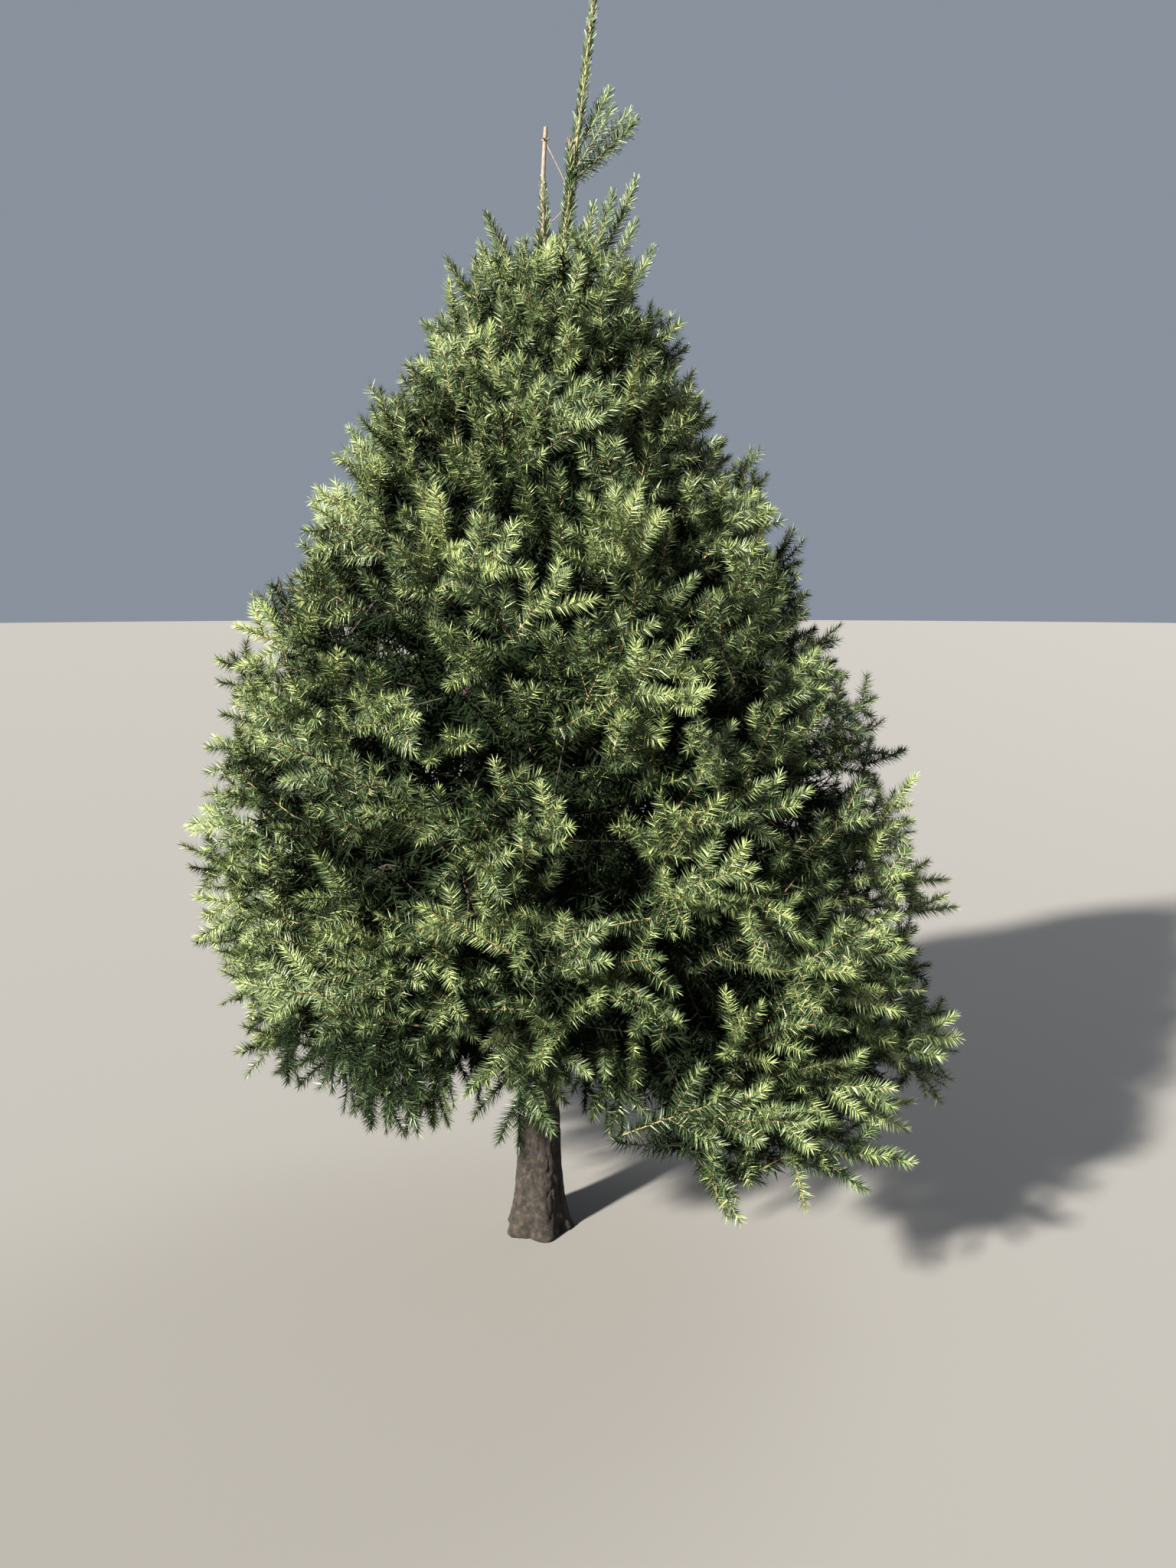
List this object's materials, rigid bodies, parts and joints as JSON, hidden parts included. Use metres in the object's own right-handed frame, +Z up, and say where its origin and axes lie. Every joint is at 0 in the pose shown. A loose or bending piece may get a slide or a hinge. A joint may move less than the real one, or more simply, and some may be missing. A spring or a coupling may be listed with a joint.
{
  "type": "christmas tree",
  "caption": "Dense cone-shaped fir grown for Christmas, rooted in level ground, with a bare foot, a second leader that died back and foliage in whorls round one trunk.",
  "frame": {"origin": "middle of the flat cut under the trunk, at ground level", "axes": "+Z up along the trunk; the picture looks along +Y; +X is to the picture's right"},
  "size_m": [1.717, 1.6797, 2.8222],
  "materials": {
    "bark": "rough, furrowed grey-brown bark",
    "foliage": "dense fresh green needles on thin tan twigs"
  },
  "bodies": {
    "root": {"trunk": "bark", "bough_skirt_1": "bark", "foliage_skirt_1": "foliage", "bough_skirt_2": "bark", "foliage_skirt_2": "foliage", "bough_skirt_3": "bark", "foliage_skirt_3": "foliage", "bough_skirt_4": "bark", "foliage_skirt_4": "foliage", "bough_skirt_5": "bark", "foliage_skirt_5": "foliage", "bough_lower_1": "bark", "foliage_lower_1": "foliage", "bough_lower_2": "bark", "foliage_lower_2": "foliage", "bough_lower_3": "bark", "foliage_lower_3": "foliage", "bough_lower_4": "bark", "foliage_lower_4": "foliage", "bough_lower_5": "bark", "foliage_lower_5": "foliage", "bough_lower_6": "bark", "foliage_lower_6": "foliage", "bough_middle_1": "bark", "foliage_middle_1": "foliage", "bough_middle_2": "bark", "foliage_middle_2": "foliage", "bough_middle_3": "bark", "foliage_middle_3": "foliage", "bough_middle_4": "bark", "foliage_middle_4": "foliage", "bough_middle_5": "bark", "foliage_middle_5": "foliage", "bough_middle_6": "bark", "foliage_middle_6": "foliage", "bough_upper_1": "bark", "foliage_upper_1": "foliage", "bough_upper_2": "bark", "foliage_upper_2": "foliage", "bough_upper_3": "bark", "foliage_upper_3": "foliage", "bough_upper_4": "bark", "foliage_upper_4": "foliage", "bough_upper_5": "bark", "foliage_upper_5": "foliage", "foliage_shoulder_1": "foliage", "foliage_shoulder_2": "foliage", "foliage_shoulder_3": "foliage", "foliage_shoulder_4": "foliage", "foliage_top_1": "foliage", "foliage_top_2": "foliage", "foliage_top_3": "foliage", "leader": "foliage", "side_leader": "foliage"}
  },
  "joints": []
}
